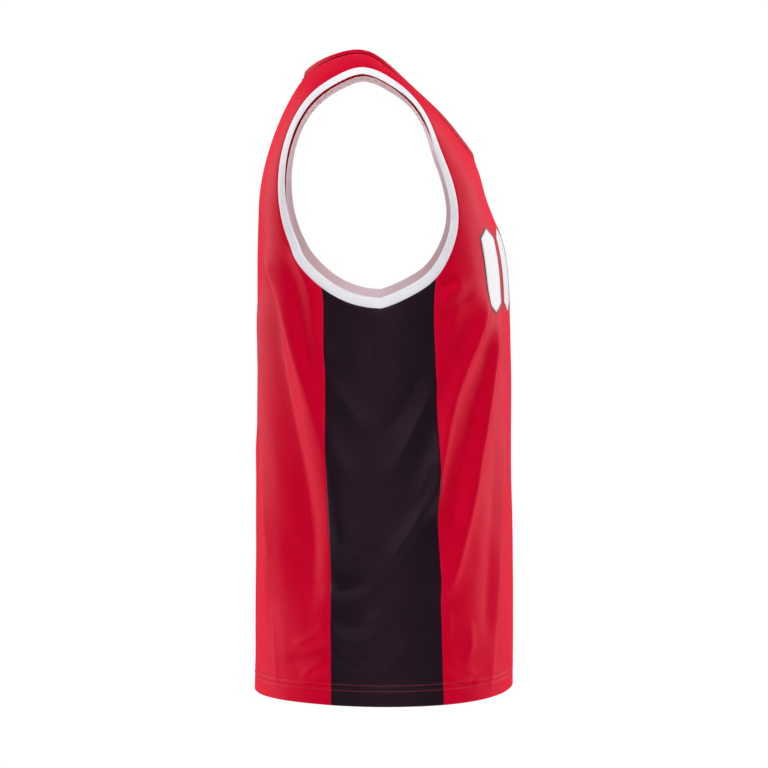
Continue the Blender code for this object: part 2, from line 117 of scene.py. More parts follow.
# The form, row by row. A row leaves the centre plane squarely, and meets the side line turned back in
# plan and dipping by two angles. Its fullness is the length of its end tangents, as a share of its
# chord. Rows 0 to 12 climb the front, and row 12 runs over the shoulder.
SHOULDER_ROW = 12
START_FULLNESS = 1.05
FORM = [
    # centre depth, centre z, side half width, side depth, side z, turn, dip, fullness
    (-0.167, -0.705, 0.178, -0.0862, -0.708, 58, 0, 1.05),
    (-0.1672, -0.58, 0.177, -0.0822, -0.582, 59, 0, 1.05),
    (-0.1648, -0.44, 0.1762, -0.0786, -0.44, 61, 0, 1.05),
    (-0.1641, -0.32, 0.177, -0.0763, -0.321, 62, 0, 1.05),
    (-0.1623, -0.262, 0.1775, -0.0753, -0.262, 63, 0, 1.05),
    (-0.1542, -0.199, 0.165, -0.0835, -0.201, 56, 2, 1.05),
    (-0.1345, -0.148, 0.158, -0.0885, -0.154, 50, 5, 1.05),
    (-0.124, -0.114, 0.1568, -0.0845, -0.131, 48, 8, 1.0),
    (-0.1055, -0.0865, 0.157, -0.0775, -0.109, 45, 13, 0.95),
    (-0.081, -0.0585, 0.1575, -0.0655, -0.0715, 38, 30, 0.65),
    (-0.043, -0.025, 0.159, -0.0365, -0.0325, 22, 42, 0.5),
    (-0.02, -0.0015, 0.1605, -0.016, -0.019, 10, 46, 0.5),
    (0.0, 0.0135, 0.162, 0.001, -0.015, 0, 48, 0.55),
    (0.04, 0.008, 0.162, 0.028, -0.0225, -18, 42, 0.6),
    (0.068, -0.0135, 0.1605, 0.056, -0.042, -32, 28, 0.7),
    (0.0855, -0.042, 0.16, 0.0725, -0.072, -42, 18, 0.8),
    (0.103, -0.083, 0.16, 0.0835, -0.107, -48, 10, 0.85),
    (0.117, -0.135, 0.1605, 0.086, -0.15, -52, 4, 0.95),
    (0.1225, -0.19, 0.1665, 0.0715, -0.2, -58, 1, 1.05),
    (0.1245, -0.25, 0.1787, 0.0478, -0.252, -65, 0, 1.05),
    (0.1244, -0.285, 0.1785, 0.0459, -0.286, -65, 0, 1.05),
    (0.1242, -0.34, 0.178, 0.0441, -0.34, -64, 0, 1.05),
    (0.1247, -0.44, 0.177, 0.0418, -0.44, -62, 0, 1.05),
    (0.1257, -0.58, 0.1785, 0.0395, -0.58, -60, 0, 1.05),
    (0.1275, -0.711, 0.18, 0.0385, -0.708, -60, 0, 1.05),
]

# Neck seam seen from above: distance from the origin, by angle from straight ahead
NECK = [
    # angle, radius
    (0, 0.1244),
    (10, 0.1102),
    (24, 0.0957),
    (41, 0.0855),
    (60, 0.0830),
    (76, 0.0858),
    (90, 0.0900),
    (120, 0.0855),
    (150, 0.0762),
    (180, 0.0725),
]

# Armhole seam seen from the side: distance from its centre, by angle from straight down, towards the
# front. Its binding leans outwards from the YZ plane.
ARMHOLE_CENTRE = (-0.0175, -0.1400)
ARMHOLE = [
    # angle, radius, lean
    (0, 0.1314, 2),
    (15, 0.1225, 8),
    (30, 0.1162, 22),
    (45, 0.1059, 36),
    (60, 0.0963, 43),
    (75, 0.0872, 47),
    (90, 0.0803, 49),
    (105, 0.0767, 53),
    (120, 0.0770, 56),
    (135, 0.0832, 66),
    (150, 0.0955, 70),
    (165, 0.1104, 64),
    (177, 0.1232, 55),
    (189, 0.1342, 52),
    (200, 0.1335, 52),
    (215, 0.1302, 55),
    (240, 0.1203, 59),
    (270, 0.1142, 51),
    (300, 0.1186, 36),
    (322, 0.1252, 22),
    (340, 0.1298, 12),
    (360, 0.1314, 2),
]

# Creases, in millimetres: a soft ridge, or a trough where the height is below nothing. Each has a half
# width on the side of lesser distance round and another on the other side, as its path runs down, and it
# rises and dies away over its two fades. Its path is a few places, as (distance round, height).
CREASES = [
    # height, before, after, fade in, fade out, path
    # right of the back: the long pull from the shoulder blade down to the side seam, and its valley
    (7, 20, 24, 40, 60, [(-460, -200), (-405, -300), (-345, -450), (-325, -575)]),
    (-13, 40, 26, 100, 110, [(-480, -210), (-430, -370), (-395, -470), (-385, -640)]),
    (5, 14, 26, 60, 80, [(-520, -240), (-490, -450), (-470, -640)]),
    (3.6, 10, 12, 20, 30, [(-370, -200), (-365, -265), (-350, -345)]),
    (-2.6, 10, 10, 30, 40, [(-395, -215), (-385, -285), (-360, -365)]),
    (1, 5, 8, 25, 20, [(-485, -485), (-460, -560)]),
    (1.1, 4, 8, 20, 15, [(-460, -605), (-445, -700)]),
    (-1.6, 14, 8, 30, 15, [(-430, -520), (-400, -560), (-355, -585)]),
    (2.4, 7, 7, 30, 12, [(-420, -650), (-385, -640), (-350, -620)]),
    (-2.4, 8, 7, 30, 12, [(-430, -665), (-385, -655), (-350, -640)]),
    (2.2, 6, 6, 20, 10, [(-400, -685), (-375, -670), (-350, -660)]),
    (-1.4, 5, 5, 12, 10, [(-390, -690), (-350, -675)]),
    # right side: soft slanting waves
    (2.4, 7, 7, 40, 40, [(-215, -330), (-250, -400), (-290, -470)]),
    (-1.4, 10, 8, 25, 30, [(-235, -320), (-260, -375), (-290, -420)]),
    (1.4, 8, 6, 15, 20, [(-230, -430), (-255, -490)]),
    (4.2, 9, 8, 40, 20, [(-225, -460), (-280, -545), (-315, -575), (-355, -580)]),
    (-1.4, 10, 8, 25, 18, [(-300, -530), (-335, -555)]),
    (1.8, 9, 12, 25, 25, [(-350, -345), (-300, -415)]),
    (1, 8, 10, 15, 20, [(-350, -410), (-320, -465)]),
    (2.2, 6, 7, 12, 30, [(-350, -610), (-320, -620), (-285, -600)]),
    (-2.2, 6, 7, 12, 30, [(-350, -630), (-320, -640), (-285, -615)]),
    (1.4, 6, 6, 12, 12, [(-350, -645), (-320, -665), (-300, -665)]),
    (1.1, 7, 7, 15, 15, [(-260, -635), (-300, -680)]),
    (0.9, 3, 3, 8, 40, [(-290, -270), (-290, -405)]),
    # right of the front: long pulls from the chest to the side seam
    (9.5, 12, 12, 60, 50, [(-115, -250), (-200, -370), (-235, -510)]),
    (-2, 11, 8, 20, 30, [(-170, -305), (-220, -420)]),
    (-5, 26, 14, 50, 60, [(-110, -290), (-165, -400), (-215, -540)]),
    (7, 16, 11, 70, 40, [(-85, -260), (-140, -395), (-185, -515), (-225, -600)]),
    (2, 20, 14, 30, 40, [(-185, -240), (-215, -350)]),
    (-2.4, 20, 16, 60, 50, [(-105, -400), (-130, -540), (-150, -660)]),
    (2.6, 14, 7, 50, 25, [(-65, -400), (-110, -580), (-140, -705)]),
    (2.2, 7, 6, 10, 30, [(-220, -270), (-200, -255), (-160, -245)]),
    (-2.8, 6, 6, 10, 12, [(-220, -250), (-190, -240)]),
    (-2.4, 6, 7, 10, 30, [(-220, -285), (-195, -270), (-155, -260)]),
    (2, 7, 6, 15, 15, [(-220, -600), (-215, -620), (-220, -640)]),
    (1.8, 7, 7, 20, 20, [(-180, -615), (-180, -650), (-200, -670)]),
    (2, 6, 6, 20, 12, [(-165, -680), (-200, -670), (-225, -650)]),
    (-2.2, 5, 5, 12, 12, [(-165, -685), (-200, -685), (-225, -670)]),
    # left of the front
    (4.2, 7, 13, 35, 40, [(110, -265), (165, -360), (210, -500)]),
    (-3.6, 13, 11, 40, 60, [(120, -305), (150, -410), (195, -560)]),
    (5, 8, 15, 40, 40, [(75, -290), (120, -420), (170, -600)]),
    (2.4, 7, 14, 50, 25, [(45, -400), (80, -560), (105, -700)]),
    (-2.2, 16, 20, 60, 50, [(90, -410), (130, -660)]),
    (1.5, 5, 5, 8, 15, [(220, -265), (190, -250)]),
    (-1.7, 5, 5, 8, 12, [(220, -280), (170, -255)]),
    (1.6, 6, 6, 12, 12, [(160, -665), (220, -650)]),
    (-1.4, 5, 5, 12, 12, [(165, -680), (220, -670)]),
    # left side
    (1.7, 6, 9, 25, 30, [(230, -340), (270, -445)]),
    (2.2, 6, 9, 25, 18, [(245, -490), (290, -550), (340, -575)]),
    (1.4, 12, 8, 20, 20, [(350, -355), (305, -430)]),
    (1.5, 6, 6, 12, 12, [(340, -620), (290, -610)]),
    (-1.3, 6, 6, 12, 12, [(345, -640), (295, -635)]),
    # left of the back
    (4.6, 18, 8, 25, 60, [(460, -195), (420, -310), (360, -545)]),
    (-5.6, 17, 28, 110, 90, [(450, -275), (405, -600)]),
    (2.8, 24, 12, 50, 60, [(515, -300), (490, -460), (470, -610)]),
    (2, 9, 5, 15, 30, [(380, -205), (355, -325)]),
    (1.7, 6, 6, 15, 12, [(415, -650), (350, -630)]),
    (-1.5, 6, 6, 15, 12, [(420, -665), (350, -650)]),
    # middle of the back
    (-2, 26, 26, 40, 60, [(560, -150), (560, -360)]),
    (1.8, 14, 14, 40, 40, [(-545, -400), (-530, -630)]),
    (1.8, 14, 14, 40, 40, [(540, -450), (545, -670)]),
]

CREASE_POINTS = 25  # along a path
CREASE_POWER = 1.6
CREASE_TURN = 0.3  # share of the smaller half width over which one passes into the other
CREASE_REACH = 3  # half widths beyond which a crease is nothing

# Long low swells of the cloth: height in millimetres, lengths round and up in metres, and phase. They
# are nothing above a height, and whole some way below it.
SWELLS = [
    # height, round, up, phase
    (0.35, 0.11, 0.31, 0.4),
    (0.22, 0.067, 0.19, 2.1),
    (0.14, 0.041, 0.12, 4.0),
]
SWELL_TOP = -0.05
SWELL_FADE = 0.12
SWELL_STRETCH = 1.7  # how much longer upwards the second sine of a swell is

# Five upright bars across the chest, pointed at both ends
BAR_COUNT = 5
BAR_WIDTH = 0.036
BAR_GAP = 0.0145
BAR_HEIGHT = 0.092
BAR_POINT = 0.010
BAR_OUTLINE = 0.0024
BAR_MIDDLE = -0.232
BAR_ROWS = 33
BAR_COLUMNS = 15
FILM = 0.00025
FILM_FOOT = 0.00002  # height of the foot of its rim above the cloth
PRINT_REACH = 1.15  # how far up the form it may lie, as a share of the way to the armhole
PRINT_SAMPLES = (300, 200, 150)  # rows, places along each, and distances that are read off from them

# Looks. Patches, fuzz, grain and twist are scales of noise for each metre.
PANEL_KNIT = (0.0007, 0.0006)  # wale and course
BAND_KNIT = (0.0009, 0.0008)
COURSE_SHARE = 0.35  # how much the courses add to the relief of the loops
DYE_PATCHES = 38
DYE_RELIEF = 0.00003
DYE_MIDDLE = 0.67
FUZZ = 900
FUZZ_SHARE = 0.35
PAINTED_SHADE_SPAN = (0.0013, 0.0021)  # where the painted shade along a band's seam starts to fade, and ends
INK_GRAIN = 700
INK_RELIEF = 0.00006
THREAD_TWIST = 1800

LENS = 187.4
CAMERA = (-4.55, -0.020, -0.138)
CAMERA_TARGET = (0, -0.020, -0.3633)
ROOM_LIGHT = 0.08
LIT_PLACE = (0, -0.02, -0.35)
LIGHTS = [
    # name, place, size, watts
    ("light ahead", (1.7, -2.3, 0.30), (1.0, 2.2), 58),
    ("light behind", (1.7, 2.3, 0.30), (1.0, 2.2), 58),
    ("light above", (-0.6, 0.0, 2.3), (1.6, 1.6), 41),
    ("light fill", (-3.6, 0.0, 1.2), (2.0, 1.2), 76),
]
FLOOR = -1.45
FLOOR_RADIUS = 2.1
FLOOR_GLOW = 0.62
FLOOR_CORNERS = 96


# -------- curves and the form


def unit(vectors):
    return vectors / np.linalg.norm(vectors, axis=-1, keepdims=True)


def path_lengths(points, axis=0):
    """Distances along a path from its first point, or along each row of a grid."""
    steps = np.linalg.norm(np.diff(points, axis=axis), axis=-1)
    return np.insert(np.cumsum(steps, axis=axis), 0, 0, axis=axis)


def smooth_curve(table):
    """A natural cubic spline through a table's values, as a function of its first column."""
    table = np.array(table, float)
    knots, values = table[:, 0], table[:, 1:]
    steps = np.diff(knots)
    slopes = np.diff(values, axis=0) / steps[:, None]
    system = np.eye(len(knots))
    right = np.zeros_like(values)
    for i in range(1, len(knots) - 1):
        system[i, i - 1 : i + 2] = steps[i - 1], 2 * (steps[i - 1] + steps[i]), steps[i]
        right[i] = 6 * (slopes[i] - slopes[i - 1])
    bends = np.linalg.solve(system, right)

    def at(parameter):
        t = np.atleast_1d(np.asarray(parameter, float))
        i = np.clip(np.searchsorted(knots, t) - 1, 0, len(steps) - 1)
        h = steps[i][..., None]
        a = (knots[i + 1] - t)[..., None] / h
        b = 1 - a
        curve = a * values[i] + b * values[i + 1]
        return curve + ((a**3 - a) * bends[i] + (b**3 - b) * bends[i + 1]) * h**2 / 6

    return at


def hermite(start, start_way, end, end_way, fullness, u):
    """Points of the cubics that leave each start and reach each end along the given ways, at shares u:
    one list of shares for all the cubics, or one for each."""
    chord = np.linalg.norm(end - start, axis=-1)[:, None]
    u = u[..., None]
    leave = (start_way * chord * START_FULLNESS)[:, None]
    arrive = (end_way * chord * fullness)[:, None]
    start, end = start[:, None], end[:, None]
    return (
        (2 * u**3 - 3 * u**2 + 1) * start
        + (3 * u**2 - 2 * u**3) * end
        + (u**3 - 2 * u**2 + u) * leave
        + (u**3 - u**2) * arrive
    )


# How far along the form each of its rows lies: the mean of the ways along its two edges
FORM_AT = (path_lengths([row[0:2] for row in FORM]) + path_lengths([row[2:5] for row in FORM])) / 2
FORM_CURVE = smooth_curve(np.column_stack([FORM_AT, FORM]))
SHOULDER, END = FORM_AT[SHOULDER_ROW], FORM_AT[-1]
ARMHOLE_CURVE = smooth_curve(ARMHOLE)
NECK_CURVE = smooth_curve(NECK + [(360 - angle, radius) for angle, radius in NECK[-2::-1]])


def side_line(at):
    """Points of the form's side line, and the way in which the cloth crosses it."""
    found = FORM_CURVE(at)
    turn, dip = np.radians(found[:, 5]), np.radians(found[:, 6])
    way = np.stack([np.cos(dip) * np.cos(turn), np.cos(dip) * np.sin(turn), -np.sin(dip)], 1)
    return found[:, 2:5], way


def form_rows(at, u):
    """Points of the form at the given rows, and at shares u of each row."""
    found = FORM_CURVE(at)
    side, way = side_line(at)
    centre = np.stack([0 * at, found[:, 0], found[:, 1]], 1)
    outwards = np.tile([1.0, 0.0, 0.0], (len(at), 1))
    return hermite(centre, outwards, side, way, found[:, 7:], u)


def level_rings(z, w):
    """Points of the side panel's form: at heights z, and at shares w from the front to the back seam."""
    ends = []
    for start in (0, END):
        path = np.linspace(start, SHOULDER, LEVEL_SAMPLES)
        heights = side_line(path)[0][:, 2]
        ends += side_line(np.interp(z, heights, path))
    return hermite(ends[0], ends[1], ends[2], ends[3] * [-1, -1, 1], START_FULLNESS, w)


def armhole_reach(points):
    """How far points lie outside the armhole, seen from the side, and the binding's lean there."""
    down = ARMHOLE_CENTRE[1] - points[..., 2]
    ahead = ARMHOLE_CENTRE[0] - points[..., 1]
    angle = np.degrees(np.arctan2(ahead, down)) % 360
    radius, lean = np.moveaxis(ARMHOLE_CURVE(angle), -1, 0)
    return np.hypot(down, ahead) - radius, lean


def neck_reach(points):
    """How far points lie inside the neck opening, seen from above."""
    angle = np.degrees(np.arctan2(points[..., 0], -points[..., 1]))
    return NECK_CURVE(angle)[..., 0] - np.hypot(points[..., 0], points[..., 1])


def first_below(values, shares):
    """Where each row of values first falls below zero, as a share, or the last share if it never does."""
    below = values < 0
    found = below.any(1)
    k = np.clip(below.argmax(1), 1, None)
    row = np.arange(len(values))
    before, after = values[row, k - 1], values[row, k]
    part = np.clip(before / np.where(before == after, 1, before - after), 0, 1)
    share = shares[k - 1] + part * (shares[k] - shares[k - 1])
    return np.where(below[:, 0], shares[0], np.where(found, share, shares[-1]))


def landmarks():
    """Where along the form its side line enters and leaves the armhole, and its centre line the neck."""
    found = []
    for start in (0, END):
        path = np.linspace(start, SHOULDER, EDGE_SAMPLES)
        found.append(first_below(armhole_reach(side_line(path)[0])[0][None], path)[0])
        centre = form_rows(path, np.zeros(1))[:, 0]
        found.append(first_below(-neck_reach(centre)[None], path)[0])
    return found


FRONT_CORNER, NECK_POINT, BACK_CORNER, NAPE = landmarks()


# -------- relief: creases, swells, hem, seams


def one_crease(around, z, before, after, fade_in, fade_out, path):
    """A crease one unit high along a smooth path. At distance d from the path it stands
    exp(-(d / half width) ** 1.6), a little sharper than a bell, times its fades along the path."""
    knots = path_lengths(path)
    line = smooth_curve(np.column_stack([knots, path]))(np.linspace(0, knots[-1], CREASE_POINTS))
    steps = np.diff(line, axis=0)
    lengths = np.linalg.norm(steps, axis=1)
    along = path_lengths(line)
    places = np.stack([around.ravel(), z.ravel()], 1)
    reach = CREASE_REACH * max(before, after)
    near = np.nonzero(((places > line.min(0) - reach) & (places < line.max(0) + reach)).all(1))[0]
    rise = np.zeros(len(places))
    if len(near):
        offset = places[near][:, None] - line[:-1]
        share = np.clip((offset * steps).sum(-1) / lengths**2, 0, 1)
        distance = np.linalg.norm(offset - share[..., None] * steps, axis=-1)
        best = distance.argmin(1)
        row = np.arange(len(near))
        distance, share, offset = distance[row, best], share[row, best], offset[row, best]
        beside = (steps[best, 0] * offset[:, 1] - steps[best, 1] * offset[:, 0]) / lengths[best]
        blend = 0.5 + 0.5 * np.tanh(beside / (CREASE_TURN * min(before, after)))
        reached = along[best] + share * lengths[best]
        fade = np.clip(reached / fade_in, 0, 1) * np.clip((along[-1] - reached) / fade_out, 0, 1)
        bell = np.exp(-((distance / (before + (after - before) * blend)) ** CREASE_POWER))
        rise[near] = bell * fade**2 * (3 - 2 * fade)
    return rise.reshape(around.shape)


def drape(around, z):
    """How far the cloth stands out from the form: the sum of its creases, and of swells that are
    products of sines. Round the centre back, creases reach across from either side."""
    rise = np.zeros(z.shape)
    for height, *shape in CREASES:
        for turn in (-2 * HALF_ROUND, 0, 2 * HALF_ROUND):
            rise += height / 1000 * one_crease((around + turn) * 1000, z * 1000, *shape)
    calm = np.clip((SWELL_TOP - z) / SWELL_FADE, 0, 1)
    for height, across, up, phase in SWELLS:
        turns = round(2 * HALF_ROUND / across)
        wave = np.sin(math.pi * turns * around / HALF_ROUND + 2 * math.pi * z / up + phase)
        rise += height / 1000 * calm * wave * np.cos(2 * math.pi * z / (up * SWELL_STRETCH) + phase)
    return rise


def bump(distance, half_width):
    return np.exp(-((distance / half_width) ** 2))


def hem_relief(up):
    """Each row of stitches draws a fine groove round the hem, and the cloth between and above puffs."""
    return sum(rise * bump(up - height, half_width) for height, half_width, rise in HEM_RIPPLES)


def seam_relief(distance, reach, depth=SEAM_DEPTH):
    """Towards a seam the cloth rolls in: minus the seam's depth times (1 - d / reach) squared."""
    return -depth * np.clip(1 - distance / reach, 0, 1) ** 2


def normals_of(grid):
    """Unit normals of a grid: its step across crossed with its step along."""
    across = np.gradient(grid, axis=1, edge_order=2)
    along = np.gradient(grid, axis=0, edge_order=2)
    return unit(np.cross(across, along))


# -------- the panels


def evenly_spaced(start, end):
    return np.linspace(start, end, max(2, round(abs(end - start) / GRID)) + 1)


def panel_half(corner, neck, shoulder):
    """Half a front or back panel before its relief: rows of the form from hem to shoulder, each cut
    where it meets the neck and the armhole. corner, neck and shoulder say how far along the form from
    the hem those rows lie, and the sign of shoulder is the way in which the rows climb."""
    hem, towards = (0.0, 1) if shoulder > 0 else (END, -1)
    corner, neck, shoulder = abs(corner), abs(neck), abs(shoulder)
    body = np.concatenate([HEM_ROWS, evenly_spaced(HEM_ROWS[-1], corner)[1:]])
    chest = evenly_spaced(corner, neck)[1:]
    strap = shoulder - np.array(SHOULDER_ROWS)
    up = np.concatenate([body, chest, evenly_spaced(neck, strap[0])[1:-1], strap])
    at = hem + towards * up
    dense = np.linspace(0, 1, ROW_SAMPLES)
    rows = form_rows(at, dense)
    first = first_below(neck_reach(rows), dense)
    last = first_below(armhole_reach(rows)[0], dense)
    first[: len(body) + len(chest)] = 0
    last[: len(body)] = 1
    inner = np.linspace(0, 1, COLUMNS + 1)[1:-1]
    across = np.concatenate([FIRST_SHARES, inner, LAST_SHARES])
    shares = first[:, None] + (last - first)[:, None] * across
    step = form_rows(at, np.stack([first, first + 2 * NUDGE], 1))
    panel = {"points": form_rows(at, shares), "up": up[:, None] + 0 * shares}
    panel["around"] = shares * FRONT_WIDTH if towards > 0 else HALF_ROUND - shares * BACK_WIDTH
    panel["neck"] = len(body) + len(chest) - 1
    panel["corner"] = len(body) - 1
    panel["ways"] = unit(step[:, 1] - step[:, 0])
    panel["normals"] = normals_of(panel["points"]) * towards
    return panel


def side_half():
    """A side panel before its relief: level rings from the front to the back seam, climbing from the hem
    to the armhole. One column runs up to the armhole's lowest point."""
    lowest = ARMHOLE_CENTRE[1] - ARMHOLE[0][1]
    fine = np.linspace(0, 1, RING_SAMPLES)
    ring = level_rings(np.array([lowest]), fine)[0]
    tip = np.interp(ARMHOLE_CENTRE[0], ring[:, 1], fine)
    ahead = round(SIDE_COLUMNS * tip)
    before = np.linspace(SIDE_MARGIN, tip, ahead)
    after = np.linspace(tip, 1 - SIDE_MARGIN, SIDE_COLUMNS - ahead)[1:]
    across = np.concatenate([SIDE_SHARES, before, after, 1 - np.array(SIDE_SHARES[::-1])])
    hem = FORM[0][4]
    climb = np.linspace(hem, ARMHOLE_CENTRE[1], CLIMB_SAMPLES)
    columns = np.swapaxes(level_rings(climb, across), 0, 1)
    tops = first_below(armhole_reach(columns)[0], climb) - hem
    low = HEM_ROWS[-1]
    rows = round((tops.mean() - low) / GRID)
    climbing = np.concatenate([np.linspace(0, 1, rows + 1)[1:-1], TOP_SHARES])[:, None]
    up = np.concatenate([np.tile(HEM_ROWS[:, None], (1, len(across))), low + climbing * (tops - low)])
    rings = [level_rings(hem + up[:, i], across[i : i + 1])[:, 0] for i in range(len(across))]
    panel = {"points": np.stack(rings, 1), "up": up, "around": FRONT_WIDTH + SIDE_WIDTH * across + 0 * up}
    panel["tip"] = int(np.argmin(np.abs(across - tip)))
    panel["normals"] = normals_of(panel["points"])
    return panel


def finished(panel, side):
    """A panel's outer face on one side of the body: its form moved out along its normals by the drape,
    the hem's relief and the roll into each seam. With it go its normals and the places on its cloth."""
    points, up, around = panel["points"], panel["up"], side * panel["around"]
    gone = path_lengths(points, 1)
    relief = hem_relief(up) + seam_relief(gone[:, -1:] - gone, SIDE_SEAM_REACH)
    if "neck" in panel:
        relief = np.maximum(relief + seam_relief(up[-1:] - up, SHOULDER_REACH), -SEAM_DEPTH)
        neckline = slice(panel["neck"] + 1, None)
        relief[neckline] = np.minimum(relief, seam_relief(gone, NECK_REACH, NECK_SEAM_DEPTH))[neckline]
    else:
        relief += seam_relief(gone, SIDE_SEAM_REACH) + seam_relief(up[-1:] - up, SIDE_TOP_REACH)
        relief = np.maximum(relief, -SEAM_DEPTH)
    rise = drape(around, points[..., 2]) + relief
    made = {**panel, "normals": panel["normals"] * [side, 1, 1], "cloth": np.stack([around, up], -1)}
    made["outer"] = (points + rise[..., None] * panel["normals"]) * [side, 1, 1]
    return made


def turned_up(made):
    """A panel with its hem: below the first row the cloth runs round a half circle, and back up inside
    at twice its radius from the outer face."""
    outer, normals, cloth = made["outer"], made["normals"], made["cloth"]
    down = np.array([0, 0, -1.0])
    bend = np.radians(HEM_BEND_DEG)[:, None, None]
    fold = outer[0] + HEM_FOLD * (np.sin(bend) * down + (np.cos(bend) - 1) * normals[0])
    inside = np.nonzero(made["up"][:, 0] < HEM_TURN)[0][:0:-1]
    back = outer[inside] - 2 * HEM_FOLD * normals[inside]
    points = np.concatenate([back, fold, outer])
    places = np.concatenate([cloth[inside] * [1, -1], np.repeat(cloth[:1], len(bend), 0), cloth])
    return points, places


def turned_in(made, edge):
    """A strip one column wide, from a seamed edge to the same edge moved in behind the seam."""
    outer, normals, cloth = (made[part][edge] for part in ("outer", "normals", "cloth"))
    return np.stack([outer, outer - SEAM_ALLOWANCE * normals], 1), np.stack([cloth, cloth], 1)


def panel_patches(made):
    """The patches of cloth that make a panel: its face with the hem, and its edges turned in at seams."""
    neck = turned_in(made, np.s_[made.get("neck", 0) :, 0])
    top = turned_in(made, -1)
    patches = [turned_up(made), turned_in(made, np.s_[:, -1])]
    return patches + [[part[:, ::-1] for part in neck], [np.swapaxes(part, 0, 1) for part in top]]


# -------- the bands


def read_off(at, lengths, values):
    """Values of a path's points, read off at distances along it."""
    return np.stack([np.interp(at, lengths, values[:, k]) for k in range(values.shape[1])], 1)


def band_section(width, depth):
    """The section of a folded band from the bottom of its seam, over the crown, round its free edge and
    back behind: places across it, and how far each stands out."""
    lip = 0.3 * (depth - SEAM_DEPTH)
    crown = [(0, -depth), (0.0003 - lip, -0.33 * depth), (0.0009 - lip, 0.00010), (0.0018, 0.00032)]
    face = [(0.0032, 0.00046), (0.0050, 0.00052), (width * 0.62, 0.00053), (width * 0.8, 0.00050)]
    turn = np.radians(np.linspace(90, -90, 9))
    edge = np.stack([width + BAND_HALF * (np.cos(turn) - 1), -0.0001 + BAND_HALF * np.sin(turn)], 1)
    behind = [(width * 0.7, -0.00105), (width * 0.35, -0.00120), (0.0008, -0.00130), (0, -0.0009 - depth)]
    return np.concatenate([crown, face, edge, behind])


def crossing(lengths, past):
    """How far along a line it stops being past a plane, near its start."""
    beyond = np.nonzero(past[: len(past) // 4] > 0)[0]
    if len(beyond) == 0:
        return 0.0
    k = beyond[-1]
    return lengths[k] + past[k] / (past[k] - past[k + 1]) * (lengths[k + 1] - lengths[k])


def folded_band(seam, ways, outs, width, depth, curl_deg, past_start, past_end):
    """A folded band along a seam: at each place, its section laid along the way across and the way out,
    curling in as the square of the distance across. Where its ends meet, each line along the band is
    drawn up so that it ends on the plane between them. The two functions say how far past it points are."""
    across, out = band_section(width, depth).T
    curl = across**2 / width * math.sin(math.radians(curl_deg))
    lines = seam[:, None] + across[:, None] * ways[:, None] + (out - curl)[:, None] * outs[:, None]
    lengths = path_lengths(seam)
    to_end = lengths[-1] - lengths
    near_start, near_end = (np.clip(1 - far / MITRE_REACH, 0, 1) for far in (lengths, to_end))
    for j in range(len(across)):
        line = lines[:, j].copy()
        start = crossing(lengths, past_start(line))
        end = crossing(to_end[::-1], past_end(line)[::-1])
        lines[:, j] = read_off(lengths + start * near_start - end * near_end, lengths, line)
    return lines, np.stack(np.broadcast_arrays(lengths[:, None], across), -1)


def orthogonal(ways, along):
    return unit(ways - (ways * along).sum(1, keepdims=True) * along)


def join_groove(distance, outs, depth, half_width):
    """How far a band dips, against its ways out, at distances from its join."""
    return depth * bump(distance[:, None, None], half_width) * outs[:, None]


def armhole_band(front, back, side, sign):
    """The binding of one armhole. Its seam runs from the underarm up the front and down the back, and
    the band leans outwards from the YZ plane, towards the middle of the armhole."""
    top, tip = side["outer"][-1], side["tip"]
    up_front = front["outer"][front["corner"] :, -1]
    down_back = back["outer"][back["corner"] :, -1][::-1]
    loop = np.concatenate([top[: tip + 1][::-1], up_front[1:], down_back[1:], top[tip:][::-1][1:]])
    at = np.linspace(0, path_lengths(loop)[-1], BINDING_STEPS)
    seam = read_off(at, path_lengths(loop), loop * [sign, 1, 1])
    along = unit(np.gradient(seam, axis=0, edge_order=2))
    lean = np.radians(armhole_reach(seam)[1] * BINDING_LEAN)[:, None]
    inwards = unit(np.stack([0 * at, along[:, 2], -along[:, 1]], 1))
    ways = orthogonal(np.cos(lean) * inwards + np.sin(lean) * np.array([1.0, 0, 0]), along)
    outs = -unit(np.cross(along, ways))
    seam = seam + SEAM_DEPTH * outs
    tip_y = seam[0, 1]
    past = (lambda p: p[:, 1] - tip_y), (lambda p: tip_y - p[:, 1])
    points, places = folded_band(seam, ways, outs, BINDING_WIDTH, SEAM_DEPTH, BINDING_CURL_DEG, *past)
    points = points - join_groove(np.minimum(at, at[-1] - at), outs, *BINDING_JOIN)
    return points * [sign, 1, 1], places


def half_neckband(front, back, sign):
    """Half the neckband, from the point of the V over the shoulder to the centre back. It carries on
    from the panels across the seam, standing up a little, and a join crosses it at the shoulder."""
    f, b = front["neck"], back["neck"]
    seam = np.concatenate([front["outer"][f:, 0], back["outer"][b:, 0][::-1][1:]]) * [sign, 1, 1]
    across = -np.concatenate([front["ways"][f:], back["ways"][b:][::-1][1:]])
    lengths = path_lengths(seam)
    at = np.linspace(0, lengths[-1], NECKBAND_STEPS)
    shoulder = lengths[len(front["outer"]) - f - 1]
    seam, across = read_off(at, lengths, seam), read_off(at, lengths, across)
    along = unit(np.gradient(seam, axis=0, edge_order=2))
    ways = orthogonal(across, along)
    outs = unit(np.cross(along, ways))
    stand = math.radians(NECKBAND_STAND_DEG)
    level, rise = math.cos(stand), math.sin(stand)
    ways, outs = level * ways + rise * outs, level * outs - rise * ways
    seam = seam + NECK_SEAM_DEPTH * outs
    seam[[0, -1], 0] = 0
    past = [lambda p: -p[:, 0]] * 2
    points, places = folded_band(seam, ways, outs, NECKBAND_WIDTH, NECK_SEAM_DEPTH, 0, *past)
    points[[0, -1], :, 0] = 0
    points = points - join_groove(np.minimum(np.abs(at - shoulder), at), outs, *NECKBAND_JOIN)
    return points * [sign, 1, 1], places * [sign, 1]


# -------- print and stitching


